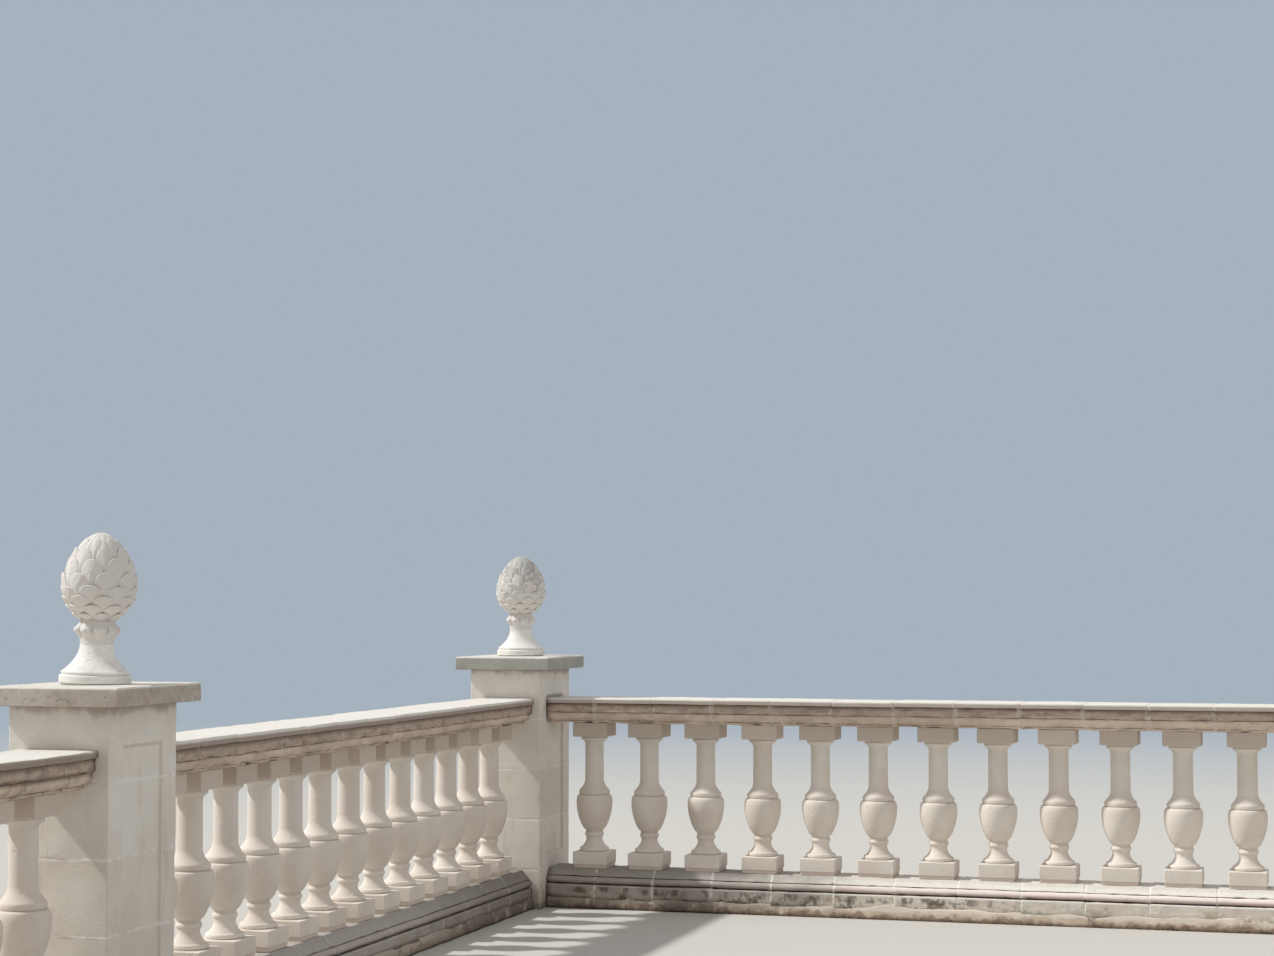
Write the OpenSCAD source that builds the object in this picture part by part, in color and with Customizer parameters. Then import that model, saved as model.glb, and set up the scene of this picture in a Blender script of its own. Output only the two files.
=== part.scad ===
// Corner of a terrace balustrade in cast stone: three bays of turned balusters between
// coursed piers, each pier under a flat cap and a pine-cone finial.
// Millimetres, +Z up. Origin: middle of the corner pier at floor level. The right bay runs
// along +X; the middle bay and then the left bay run along -Y.

/* [Piers] */
// Pier size along X
pier_x = 375; // [360:5:420]
// Pier size along Y
pier_y = 480; // [400:5:520]
// Height from the floor to the underside of the cap
pier_h = 1212; // [1180:2:1300]
// Height of the lowest course
foot_course = 200; // [160:10:240]
// Number of equal courses above the lowest one
courses = 4; // [3:1:5]
// Width of a mortar joint
joint_w = 8; // [4:1:12]
// Depth of a mortar joint behind the face
joint_d = 3; // [1:0.5:4]

/* [Sunk panels] */
// Width of the sunk panel, across the broad face
panel_w = 290; // [200:5:300]
// Bottom edge of the panel above the floor
panel_z = 262; // [240:2:300]
// Height of the panel
panel_h = 823; // [700:1:850]
// Depth of the panel
panel_d = 11; // [5:1:15]
// Width of the sloping edge round the panel
panel_bevel = 22; // [8:1:30]

/* [Pier caps] */
// Projection of the cap beyond the pier
cap_over = 62; // [40:1:80]
// Thickness of the cap
cap_h = 65; // [50:1:80]
// Width of the small bevel round the top edge
cap_bevel = 5; // [2:1:8]

/* [Finials] */
// Diameter of the round base
foot_d = 245; // [225:1:260]
// Height of the upright edge of the base
foot_edge = 29; // [22:1:35]
// Diameter of the neck
neck_d = 113; // [100:1:120]
// Height of the neck above the cap
neck_z = 136; // [125:1:145]
// Diameter over the leaf collar
collar_d = 160; // [145:1:175]
// Height of the leaf collar
collar_h = 74; // [65:1:80]
// Largest diameter of the cone
cone_d = 260; // [235:1:270]
// Height of the finial, from the cap to the tip
finial_h = 520; // [490:1:530]
// Height share of the finial at which the cone is widest
widest = 0.657; // [0.63:0.005:0.68]
// Scales in a row, and leaves in the collar
cone_scales = 8; // [7:1:8]
// How far a scale stands out at its tip
scale_lift = 10; // [5:1:14]
// Turn of the cone on its foot
cone_turn = 15; // [0:1:45]

/* [Bays] */
// Clearance between a pier and the first block of a row
end_gap = 125.4; // [90:0.2:180]
// Balusters in a bay
balusters = 13; // [9:1:13]
// Spacing of the balusters
pitch = 296.6; // [290:0.2:300]
// How far the middle row sits off centre, toward the left pier
mid_shift = 32; // [0:1:40]
// Spacing of the joints between moulded stones of handrail and plinth
stone_l = 308; // [290:1:330]
// Length of the first stone in the middle and left bays
first_stone = 330; // [200:1:360]
// Length of the first stone in the right bay
first_right = 257; // [200:1:360]
// Width of the joints in handrail and plinth
stone_joint = 5; // [3:1:8]

/* [Plinth] */
// Height of the plinth, floor to the underside of the balusters
plinth_h = 215; // [200:1:230]
// Width over the top fascia
plinth_w = 304; // [280:2:340]
// Height of the rough mortar footing
footing_h = 50; // [40:1:60]
// Height of the upright face above the footing
plinth_face = 62; // [55:1:70]
// Height of the roll
roll_h = 38; // [30:1:42]
// Height of the top fascia
shelf_h = 52; // [45:1:55]

/* [Balusters] */
// Height of a baluster with its two blocks
baluster_h = 724; // [700:1:740]
// Side of the square blocks
block = 180; // [160:1:190]
// Height of the lower block
block_low = 74; // [60:1:80]
// Height of the upper block
block_up = 66; // [55:1:75]
// Height of the bead above the lower block
bead_up = 92; // [84:1:98]
// Height of the widest part of the vase above the lower block
vase_up = 252; // [235:1:265]
// Largest diameter of the vase
vase_d = 186; // [170:1:190]
// Diameter of the waist below the vase
waist_d = 84; // [76:1:96]
// Diameter of the shaft below the upper block
shaft_d = 90; // [80:1:95]

/* [Handrail] */
// Width over the top fillet
rail_w = 300; // [280:2:340]
// Height of the top fillet
rail_fillet = 20; // [15:1:24]
// Height of the fascia
rail_fascia = 48; // [40:1:55]
// Height of the ovolo
rail_ovolo = 43; // [35:1:48]
// Height of the bed under the ovolo
rail_bed = 15; // [10:1:20]

/* [Hidden] */
$fn = 48;
seat = 0.3;
over = 1;
course_h = (pier_h - foot_course) / courses;
rail_z = plinth_h + baluster_h;
rail_h = rail_bed + rail_ovolo + rail_fascia + rail_fillet;
row_l = (balusters - 1) * pitch;
row_gap = end_gap + block / 2;
bay_clear = row_l + 2 * row_gap;
left_y = bay_clear + pier_y;
left_end_y = 2 * left_y;
right_x = bay_clear + pier_x;
cap_z = pier_h - seat;
foot_z = cap_z + cap_h - seat;
widest_z = finial_h * widest;
row_turn = 16;
row_steps = 3;
lowest_turn = -66;
pier_tint = [0.80, 0.77, 0.71];
cap_tint = [0.66, 0.65, 0.62];
finial_tint = [0.84, 0.82, 0.77];
baluster_tint = [0.88, 0.84, 0.77];
rail_tint = [0.78, 0.70, 0.61];
footing_tint = [0.45, 0.41, 0.36];

// Points of an arc in a profile, from angle a to angle b, at centre c
function arc(c, rx, ry, a, b, n) =
  [for (i = [0:n]) let (t = a + (b - a) * i / n) [c[0] + rx * cos(t), c[1] + ry * sin(t)]];

// A hollow curve in a profile from point p to point q, flattening toward q
function hollow(p, q, power, n) =
  [for (i = [0:n]) let (t = i / n) [q[0] + (p[0] - q[0]) * pow(1 - t, power), p[1] + (q[1] - p[1]) * t]];

// A profile and its mirror image joined into one outline
function both_sides(half) =
  concat(half, [for (i = [len(half) - 1:-1:0]) [-half[i][0], half[i][1]]]);

// Box standing on the floor, centred on the pier
module post(x, y, z, h) {
  translate([-x / 2, -y / 2, z]) cube([x, y, h]);
}

// Truncated wedge that sinks one panel into the +X face of a pier
module panel_cut(half_x) {
  outer_w = panel_w / 2;
  inner_w = outer_w - panel_bevel;
  step = panel_d / panel_bevel;
  intersection() {
    translate([half_x - panel_d, 0, 0])
      linear_extrude(height = pier_h)
        polygon([
          [0, -inner_w], [panel_d + over, -outer_w - over / step],
          [panel_d + over, outer_w + over / step], [0, inner_w]
        ]);
    translate([half_x - panel_d, outer_w * 2, 0])
      rotate([90, 0, 0])
        linear_extrude(height = outer_w * 4)
          polygon([
            [0, panel_z + panel_bevel], [panel_d + over, panel_z - over / step],
            [panel_d + over, panel_z + panel_h + over / step],
            [0, panel_z + panel_h - panel_bevel]
          ]);
  }
}

// Coursed shaft. The two faces that look along X carry the panels.
module pier_shaft(size_x, size_y) {
  difference() {
    post(size_x, size_y, 0, pier_h);
    for (i = [0:courses - 1])
      difference() {
        post(size_x + 2 * over, size_y + 2 * over, foot_course + i * course_h - joint_w / 2, joint_w);
        post(size_x - 2 * joint_d, size_y - 2 * joint_d, foot_course + i * course_h - joint_w, 2 * joint_w);
      }
    panel_cut(size_x / 2);
    mirror([1, 0, 0]) panel_cut(size_x / 2);
  }
}

// Flat slab with a small bevel round its top edge
module pier_cap() {
  half_x = pier_x / 2 + cap_over;
  half_y = pier_y / 2 + cap_over;
  translate([0, 0, cap_z])
    intersection() {
      translate([0, half_y, 0])
        rotate([90, 0, 0])
          linear_extrude(height = 2 * half_y)
            polygon(both_sides([[half_x, 0], [half_x, cap_h - cap_bevel], [half_x - cap_bevel, cap_h]]));
      translate([-half_x, 0, 0])
        rotate([90, 0, 90])
          linear_extrude(height = 2 * half_x)
            polygon(both_sides([[half_y, 0], [half_y, cap_h - cap_bevel], [half_y - cap_bevel, cap_h]]));
    }
}

// Turned foot: round base, fillet, and a hollow flare up to the neck
module finial_foot() {
  base_r = foot_d / 2;
  neck_r = neck_d / 2;
  profile = concat(
    [[0, 0], [base_r - 3, 0], [base_r, 4], [base_r, foot_edge - 4], [base_r - 4, foot_edge]],
    [[base_r - 6, foot_edge + 1], [base_r - 6, foot_edge + 10]],
    hollow([base_r - 12, foot_edge + 18], [neck_r, neck_z - 6], 1.8, 10),
    [[neck_r, neck_z], [0, neck_z]]
  );
  translate([0, 0, foot_z]) rotate_extrude() polygon(profile);
}

// Radius of the bare cone at turn t, -90 at its root, 0 where it is widest and 90 at the tip
function cone_r(t) = (t < 0)
  ? cone_d / 2 * cos(t)
  : cone_d / 2 * pow(max(0, 1 - pow(sin(t), 1.7)), 0.57);

// Height on the cone at turn t
function cone_at(t) = (t < 0)
  ? widest_z + (widest_z - neck_z - collar_h + 12) * sin(t)
  : widest_z + (finial_h - widest_z) * sin(t);

// Turn of the tips in a row of scales
function tip_turn(row) = -50 + row * row_turn;

// How far one row of scales stands out at angle a and turn t. A scale has a rounded tip, is
// thickest there and thins toward its root, which the row below covers.
function scale_at(row, a, t) =
  let (across = a * cone_scales / 360 + 0.5 * (row % 2))
  let (side = abs(across - floor(across) - 0.5))
  let (down = (tip_turn(row) - t) / row_turn)
  let (reach = 0.50 * sqrt(max(0, 1 - pow(max(0, 1 - down), 2))))
  (down < 0 || down > 2.6 || side > reach) ? 0 : 1 - 0.36 * down;

function lift_at(a, t) =
  max([for (row = [0:8]) scale_at(row, a, t)]);

// Share of a collar leaf's width still standing at angle a: one on its rib, less in the valley
function leaf_at(a) =
  let (across = a * cone_scales / 360)
  0.45 + 0.55 * (1 - pow(abs(across - floor(across) - 0.5) * 2, 2.5));

// Radius of the collar at height share h, where its leaves curl outward below the cone
function collar_r(a, h) =
  neck_d / 2 * (1 - 0.12 * h) + (collar_d - neck_d) / 2 * sin(180 * pow(h, 2.2)) * leaf_at(a);

// Leaf collar and pine cone as one closed skin: rings of points from the neck to the tip
module finial_cone() {
  around = cone_scales * 6;
  collar_rings = 6;
  turns = [for (t = [lowest_turn:row_turn / row_steps:88]) t];
  angles = [for (i = [0:around - 1]) 360 * i / around];
  collar = [for (j = [0:collar_rings]) for (a = angles)
    let (h = j / collar_rings)
    [collar_r(a, h) * cos(a), collar_r(a, h) * sin(a), collar_h * h]];
  cone = [for (t = turns) for (a = angles)
    let (r = cone_r(t) + scale_lift * (lift_at(a, t) - 0.8) * min(1, (90 - t) / 20))
    [r * cos(a), r * sin(a), cone_at(t) - neck_z]];
  skin = concat(collar, cone);
  rings = collar_rings + len(turns);
  bottom = len(skin);
  faces = concat(
    [for (j = [0:rings - 1]) for (i = [0:around - 1])
      let (k = (i + 1) % around)
      [j * around + i, (j + 1) * around + i, (j + 1) * around + k]],
    [for (j = [0:rings - 1]) for (i = [0:around - 1])
      let (k = (i + 1) % around)
      [j * around + i, (j + 1) * around + k, j * around + k]],
    [for (i = [0:around - 1]) [bottom, i, (i + 1) % around]],
    [for (i = [0:around - 1]) [bottom + 1, rings * around + (i + 1) % around, rings * around + i]]
  );
  translate([0, 0, foot_z + neck_z - seat])
    rotate([0, 0, cone_turn])
    polyhedron(points = concat(skin, [[0, 0, 0], [0, 0, finial_h - neck_z]]), faces = faces);
}

// Straight run of a moulding with the given cross section. A bay is drawn along +X from the
// face of the pier at its start.
module moulding(section, length) {
  rotate([90, 0, 90]) linear_extrude(height = length) polygon(section);
}

// Thin frames that open the joints between stones; first is the length of the first stone
module stone_joints(width, z, h, first) {
  for (x = [first:stone_l:bay_clear - stone_l / 3])
    difference() {
      translate([x - stone_joint / 2, -width / 2 - over, z - over])
        cube([stone_joint, width + 2 * over, h + 2 * over]);
      translate([x - stone_joint, -width / 2 + 12, z - 2 * over])
        cube([2 * stone_joint, width - 24, h - 3 + 2 * over]);
    }
}

// Rough band of mortar the plinth is bedded on
module footing() {
  translate([-seat, 0, 0])
    moulding(both_sides([
      [plinth_w / 2 + 2, 0], [plinth_w / 2 + 1, footing_h * 0.6], [plinth_w / 2 - 8, footing_h]
    ]), bay_clear + 2 * seat);
}

// Plinth: upright face, undercut roll, quirk, fascia with a flat shelf
module plinth(first) {
  face_w = plinth_w / 2 - 6;
  roll_z = footing_h + plinth_face;
  shelf_z = plinth_h - shelf_h;
  section = both_sides(concat(
    [[face_w, footing_h - seat], [face_w, roll_z], [face_w - 6, roll_z + 3]],
    arc([face_w - 4, roll_z + 5 + roll_h / 2], 15, roll_h / 2, -90, 90, 8),
    [[face_w - 4, shelf_z - 2], [plinth_w / 2 - 2, shelf_z], [plinth_w / 2, shelf_z + 2]],
    [[plinth_w / 2, plinth_h - 3], [plinth_w / 2 - 3, plinth_h]]
  ));
  difference() {
    translate([-seat, 0, 0]) moulding(section, bay_clear + 2 * seat);
    stone_joints(plinth_w + 24, footing_h, plinth_h - footing_h, first);
  }
}

// One baluster standing at the origin: square blocks, base, bead, vase, fillet and shaft
module baluster() {
  vase_r = vase_d / 2;
  waist_r = waist_d / 2;
  shaft_r = shaft_d / 2;
  base_r = vase_r - 18;
  low = block_low - seat;
  bead_z = block_low + bead_up;
  body_z = bead_z + 16;
  vase_z = block_low + vase_up;
  lip_z = vase_z + 26;
  fillet_z = lip_z + 34;
  shaft_z = fillet_z + 60;
  neck_top = baluster_h - block_up;
  profile = concat(
    [[0, low], [base_r - 1, low]],
    arc([base_r - 6, block_low + 9], 7, 9, -60, 70, 5),
    hollow([base_r - 7, block_low + 20], [waist_r, bead_z - 26], 2.2, 6),
    [[waist_r, bead_z - 9]],
    arc([waist_r, bead_z], 7, 7, -80, 80, 6),
    [for (i = [0:10]) let (t = i / 10)
      [waist_r + 3 + (vase_r - waist_r - 3) * pow(sin(90 * t), 0.85), body_z + (vase_z - body_z) * t]],
    arc([vase_r - 12, vase_z + 6], 12, lip_z - vase_z - 6, 0, 75, 4),
    [[vase_r - 10, lip_z], [vase_r - 10, lip_z + 8], [vase_r - 13, fillet_z]],
    hollow([vase_r - 15, fillet_z + 2], [shaft_r + 4, shaft_z], 1.9, 7),
    hollow([shaft_r, neck_top - 40], [shaft_r + 11, neck_top - 8], 0.5, 5),
    [[shaft_r + 13, neck_top - 6], [shaft_r + 13, neck_top + seat], [0, neck_top + seat]]
  );
  post(block, block, -seat, block_low + seat);
  rotate_extrude() polygon(profile);
  post(block, block, baluster_h - block_up, block_up + seat);
}

module baluster_row(shift) {
  for (i = [0:balusters - 1])
    translate([row_gap + shift + i * pitch, 0, plinth_h]) baluster();
}

// Handrail: bed, ovolo, set-back fascia and a projecting top fillet
module handrail(first) {
  bed_w = block / 2 + 8;
  fascia_w = rail_w / 2 - 9;
  ovolo_z = rail_bed + rail_ovolo;
  section = both_sides(concat(
    [[bed_w, 0], [bed_w, rail_bed]],
    [for (i = [0:6]) let (t = 90 * i / 6)
      [bed_w + 5 + (fascia_w - bed_w - 10) * sin(t), rail_bed + (rail_ovolo - 3) * (1 - cos(t))]],
    [[fascia_w - 7, ovolo_z - 1], [fascia_w, ovolo_z + 2], [fascia_w, ovolo_z + rail_fascia - 1]],
    [[rail_w / 2, ovolo_z + rail_fascia + 2], [rail_w / 2, rail_h - 4], [rail_w / 2 - 4, rail_h]]
  ));
  difference() {
    translate([-seat, 0, rail_z]) moulding(section, bay_clear + 2 * seat);
    stone_joints(rail_w, rail_z, rail_h, first);
  }
}

module at_left() {
  translate([0, -left_y, 0]) children();
}

module at_left_end() {
  translate([0, -left_end_y, 0]) children();
}

module at_right_end() {
  translate([right_x, 0, 0]) children();
}

module at_middle_bay() {
  translate([0, -pier_y / 2, 0]) rotate([0, 0, -90]) children();
}

module at_left_bay() {
  translate([0, -left_y - pier_y / 2, 0]) rotate([0, 0, -90]) children();
}

module at_right_bay() {
  translate([pier_x / 2, 0, 0]) children();
}

color(pier_tint) pier_shaft(pier_x, pier_y);  // corner_pier_shaft
color(cap_tint) pier_cap();  // corner_pier_cap
color(finial_tint) finial_foot();  // corner_finial_foot
color(finial_tint) finial_cone();  // corner_finial_cone
at_left() color(pier_tint) pier_shaft(pier_x, pier_y);  // left_pier_shaft
at_left() color(cap_tint) pier_cap();  // left_pier_cap
at_left() color(finial_tint) finial_foot();  // left_finial_foot
at_left() color(finial_tint) finial_cone();  // left_finial_cone
at_left_end() color(pier_tint) pier_shaft(pier_x, pier_y);  // left_end_pier_shaft
at_left_end() color(cap_tint) pier_cap();  // left_end_pier_cap
at_left_end() color(finial_tint) finial_foot();  // left_end_finial_foot
at_left_end() color(finial_tint) finial_cone();  // left_end_finial_cone
at_right_end() color(pier_tint) rotate([0, 0, 90]) pier_shaft(pier_y, pier_x);  // right_end_pier_shaft
at_right_end() color(cap_tint) pier_cap();  // right_end_pier_cap
at_right_end() color(finial_tint) finial_foot();  // right_end_finial_foot
at_right_end() color(finial_tint) finial_cone();  // right_end_finial_cone
at_middle_bay() color(footing_tint) footing();  // middle_bay_footing
at_middle_bay() color(rail_tint) plinth(first_stone);  // middle_bay_plinth
at_middle_bay() color(baluster_tint) baluster_row(mid_shift);  // middle_bay_balusters
at_middle_bay() color(rail_tint) handrail(first_stone);  // middle_bay_handrail
at_left_bay() color(footing_tint) footing();  // left_bay_footing
at_left_bay() color(rail_tint) plinth(first_stone);  // left_bay_plinth
at_left_bay() color(baluster_tint) baluster_row(0);  // left_bay_balusters
at_left_bay() color(rail_tint) handrail(first_stone);  // left_bay_handrail
at_right_bay() color(footing_tint) footing();  // right_bay_footing
at_right_bay() color(rail_tint) plinth(first_right);  // right_bay_plinth
at_right_bay() color(baluster_tint) baluster_row(0);  // right_bay_balusters
at_right_bay() color(rail_tint) handrail(first_right);  // right_bay_handrail
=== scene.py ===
import math

import bpy
import numpy as np
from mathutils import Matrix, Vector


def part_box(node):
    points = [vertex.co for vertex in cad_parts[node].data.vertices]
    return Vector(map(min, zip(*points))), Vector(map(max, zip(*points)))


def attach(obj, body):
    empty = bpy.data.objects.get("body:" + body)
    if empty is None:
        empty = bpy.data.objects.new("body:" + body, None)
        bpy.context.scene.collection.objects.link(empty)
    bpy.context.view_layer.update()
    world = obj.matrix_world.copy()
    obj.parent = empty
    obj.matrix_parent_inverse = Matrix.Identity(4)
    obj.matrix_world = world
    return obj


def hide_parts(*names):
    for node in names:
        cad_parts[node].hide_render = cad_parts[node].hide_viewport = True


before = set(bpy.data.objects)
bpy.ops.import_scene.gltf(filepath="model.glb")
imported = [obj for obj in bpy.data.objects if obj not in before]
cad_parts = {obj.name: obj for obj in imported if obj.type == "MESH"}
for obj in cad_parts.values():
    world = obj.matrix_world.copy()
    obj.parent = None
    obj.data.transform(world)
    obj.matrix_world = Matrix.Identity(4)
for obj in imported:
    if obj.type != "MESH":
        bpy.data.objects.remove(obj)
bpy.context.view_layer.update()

# Camera. It stands on the terrace side of the corner at eye height, turned a little to the
# left of the far run and tilted up, as the picture of the balustrade was taken.
EYE = (4.0845, -11.8462, 1.5596)
TURN_LEFT = math.radians(16.252)
TILT_UP = math.radians(2.955)
FILM_MM, FOCAL_MM = 36.0, 67.62

lens = bpy.data.cameras.new("camera")
lens.sensor_fit = "HORIZONTAL"
lens.sensor_width = FILM_MM
lens.lens = FOCAL_MM
camera = bpy.data.objects.new("camera", lens)
camera.location = EYE
camera.rotation_euler = (math.pi / 2 + TILT_UP, 0.0, TURN_LEFT)
bpy.context.scene.collection.objects.link(camera)
bpy.context.scene.camera = camera
bpy.context.scene.view_settings.view_transform = "Standard"


# Studio. A pale round floor that fades into a pale grey-blue backdrop, one wide soft lamp from
# the upper left, and even light from all round.
FLOOR_R = 70.0
FLOOR_TONE = "#C6C4BF"
BACKDROP_TONE = "#A6B2BE"
STAGE_MIDDLE = (2.2, -4.6)
FADE_START, FADE_END = 7.0, 26.0
FILL_LEVEL = 0.57
LAMP_LEVEL = 2.95
LAMP_FROM = (-1.0, -0.21, 1.06)


def linear(tone):
    """A hex colour of the sRGB scale as a linear colour with full cover."""
    share = np.array([int(tone[i : i + 2], 16) for i in (1, 3, 5)]) / 255
    low, high = share / 12.92, ((share + 0.055) / 1.055) ** 2.4
    return (*np.where(share <= 0.04045, low, high).tolist(), 1.0)


def add(tree, kind, inputs=None, **settings):
    """Adds one node with its settings. An input takes a plain value or another node's output."""
    made = tree.nodes.new(kind)
    for name, value in settings.items():
        setattr(made, name, value)
    for socket, value in (inputs or {}).items():
        if isinstance(value, bpy.types.NodeSocket):
            tree.links.new(value, made.inputs[socket])
        else:
            made.inputs[socket].default_value = value
    return made


def seen_directly(tree):
    """One for a ray that shows the backdrop itself, straight or in a reflection, else zero."""
    path = add(tree, "ShaderNodeLightPath")
    either = add(tree, "ShaderNodeMath", {0: path.outputs["Is Camera Ray"],
                 1: path.outputs["Is Glossy Ray"]}, operation="MAXIMUM")
    return add(tree, "ShaderNodeMath", {0: either.outputs[0],
               1: path.outputs["Is Transmission Ray"]}, operation="MAXIMUM").outputs[0]


world = bpy.data.worlds.new("studio")
world.use_nodes = True
world.node_tree.nodes.clear()
fill = add(world.node_tree, "ShaderNodeBackground", {"Color": linear("#F8F8F8"), "Strength": FILL_LEVEL})
backdrop = add(world.node_tree, "ShaderNodeBackground", {"Color": linear(BACKDROP_TONE), "Strength": 1.0})
either = add(world.node_tree, "ShaderNodeMixShader", {0: seen_directly(world.node_tree),
             1: fill.outputs[0], 2: backdrop.outputs[0]})
add(world.node_tree, "ShaderNodeOutputWorld", {"Surface": either.outputs[0]})
bpy.context.scene.world = world

rims = FLOOR_R * np.array([0.02, 0.1, 0.3, 0.6, 1.0])
turns = np.linspace(0, 2 * np.pi, 72, endpoint=False)
spokes = np.stack([np.cos(turns), np.sin(turns), 0 * turns], -1)
ground = (rims[:, None, None] * spokes).reshape(-1, 3) + (*STAGE_MIDDLE, 0.0)
ring_at = np.arange(len(ground)).reshape(len(rims), -1)
beside = np.roll(ring_at, -1, axis=1)
rows = np.stack([ring_at[:-1], ring_at[1:], beside[1:], beside[:-1]], -1).reshape(-1, 4)
floor_mesh = bpy.data.meshes.new("studio_floor")
floor_mesh.from_pydata(ground.tolist(), [], rows.tolist() + [ring_at[0].tolist()])
floor = bpy.data.objects.new("studio_floor", floor_mesh)
bpy.context.scene.collection.objects.link(floor)

paper = bpy.data.materials.new("matt studio floor")
paper.use_nodes = True
paper.node_tree.nodes.clear()
place = add(paper.node_tree, "ShaderNodeTexCoord")
from_middle = add(paper.node_tree, "ShaderNodeVectorMath", {0: place.outputs["Object"],
                  1: (*STAGE_MIDDLE, 0.0)}, operation="DISTANCE")
fade = add(paper.node_tree, "ShaderNodeMapRange", {"Value": from_middle.outputs["Value"],
           "From Min": FADE_START, "From Max": FADE_END}, interpolation_type="SMOOTHSTEP")
direct = add(paper.node_tree, "ShaderNodeMath", {0: fade.outputs[0],
             1: seen_directly(paper.node_tree)}, operation="MULTIPLY")
matt = add(paper.node_tree, "ShaderNodeBsdfDiffuse", {"Color": linear(FLOOR_TONE)})
haze = add(paper.node_tree, "ShaderNodeEmission", {"Color": linear(BACKDROP_TONE), "Strength": 1.0})
far_off = add(paper.node_tree, "ShaderNodeMixShader", {0: direct.outputs[0],
              1: matt.outputs[0], 2: haze.outputs[0]})
add(paper.node_tree, "ShaderNodeOutputMaterial", {"Surface": far_off.outputs[0]})
floor_mesh.materials.append(paper)

softbox = bpy.data.lights.new("softbox", "SUN")
softbox.energy = LAMP_LEVEL
softbox.angle = math.radians(2.5)
softbox.color = linear("#FFFEFA")[:3]
key = bpy.data.objects.new("softbox", softbox)
key.rotation_euler = (math.atan2(math.hypot(*LAMP_FROM[:2]), LAMP_FROM[2]), 0.0,
                      math.atan2(LAMP_FROM[1], LAMP_FROM[0]) + math.pi / 2)
bpy.context.scene.collection.objects.link(key)


# Footings. Each bay is bedded on a rough band of cement mortar, trowelled by hand between the
# paving and the plinth, so its top edge wanders. The middle and the left bay, below SHADY_X,
# stand in the shade, which their stone and mortar carry as painted shade.
BAYS = ("right_bay", "middle_bay", "left_bay")
SHADY_X = (0.22, 0.17)
RIPPLES = 24


def ripple(points, size, seed):
    """Smooth unevenness of mean 0 and spread 1: a sum of cosines through space whose
    wavelengths lie round size, with seeded directions and phases."""
    dice = np.random.default_rng(seed)
    way = dice.normal(size=(RIPPLES, 3))
    way /= np.linalg.norm(way, axis=1)[:, None]
    way *= 2 * np.pi / size * dice.uniform(0.6, 1.6, (RIPPLES, 1))
    phase = dice.uniform(0, 2 * np.pi, RIPPLES)
    return np.cos(points @ way.T + phase).sum(-1) / math.sqrt(RIPPLES / 2)


def skin(rings, **marks):
    """A closed skin over rings of points, an array ring x point x 3 whose rings run
    counter-clockwise seen from where they lead. Quads join ring to ring and a fan closes each
    end at its middle. A mark is a value for every point, kept as an attribute."""
    count, around = rings.shape[:2]
    at = np.arange(count * around).reshape(count, around)
    after = np.roll(at, -1, axis=1)
    quads = np.stack([at[:-1], after[:-1], after[1:], at[1:]], -1).reshape(-1, 4)
    ends = np.arange(2) + count * around
    fans = np.concatenate([
        np.stack([np.full(around, ends[0]), after[0], at[0]], -1),
        np.stack([np.full(around, ends[1]), at[-1], after[-1]], -1),
    ])
    points = np.concatenate([rings.reshape(-1, 3), rings[[0, -1]].mean(axis=1)])
    spread = {}
    for name, value in marks.items():
        full = np.broadcast_to(value, (count, around))
        spread[name] = np.concatenate([full.ravel(), full[[0, -1]].mean(axis=1)])
    return points, quads, fans, spread


def put(name, skins, finish, node):
    """Joins skins into one smooth mesh object at the origin that stands for a CAD node."""
    first = np.cumsum([0] + [len(s[0]) for s in skins])
    faces = [f for s, start in zip(skins, first) for part in s[1:3] for f in (part + start).tolist()]
    mesh = bpy.data.meshes.new(name)
    mesh.from_pydata(np.concatenate([s[0] for s in skins]).tolist(), [], faces)
    for mark in skins[0][3]:
        values = np.concatenate([s[3][mark] for s in skins]).astype(np.float32)
        mesh.attributes.new(mark, "FLOAT", "POINT").data.foreach_set("value", values)
    mesh.shade_smooth()
    mesh.materials.append(finish)
    piece = bpy.data.objects.new(name, mesh)
    bpy.context.scene.collection.objects.link(piece)
    even = piece.modifiers.new("even faces", "WEIGHTED_NORMAL")
    even.keep_sharp = False
    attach(piece, "root")
    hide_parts(node)


def bay_line(bay):
    """Start, direction and length of a bay, from the box of its plinth. The right bay runs
    along +X from the corner pier; the others run along -Y."""
    low, high = np.array(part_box(bay + "_plinth"))
    middle = (low + high) / 2
    if bay == "right_bay":
        return np.array([low[0], middle[1], 0.0]), np.array([1.0, 0.0, 0.0]), high[0] - low[0]
    return np.array([middle[0], high[1], 0.0]), np.array([0.0, -1.0, 0.0]), high[1] - low[1]


def on_bay(bay, points):
    """Points given along, across and above a bay, as points of the frame. Across is positive
    to the left of the bay's direction."""
    start, along, _ = bay_line(bay)
    left = np.array([-along[1], along[0], 0.0])
    up = np.array([0.0, 0.0, 1.0])
    return start + points[..., :1] * along + points[..., 1:2] * left + points[..., 2:] * up


def outward(ring):
    """Outward directions at the points of a closed counter-clockwise outline of two columns."""
    way = np.roll(ring, -1, axis=0) - np.roll(ring, 1, axis=0)
    way /= np.linalg.norm(way, axis=1)[:, None]
    return np.stack([way[:, 1], -way[:, 0]], -1)


def both_sides(half):
    """An outline from its half at positive width, which runs upward, and the mirror image."""
    return np.concatenate([half, half[::-1] * (-1, 1)])


def masonry(name, roughness):
    """A new matt material with its node tree and shader, its place on the object, and the
    height above the floor."""
    made = bpy.data.materials.new(name)
    made.use_nodes = True
    tree = made.node_tree
    tree.nodes.clear()
    shader = add(tree, "ShaderNodeBsdfPrincipled", {"Specular IOR Level": 0.25, "Roughness": roughness})
    add(tree, "ShaderNodeOutputMaterial", {"Surface": shader.outputs[0]})
    where = add(tree, "ShaderNodeTexCoord").outputs["Object"]
    return made, tree, shader, where, add(tree, "ShaderNodeSeparateXYZ", {0: where}).outputs[2]


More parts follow.
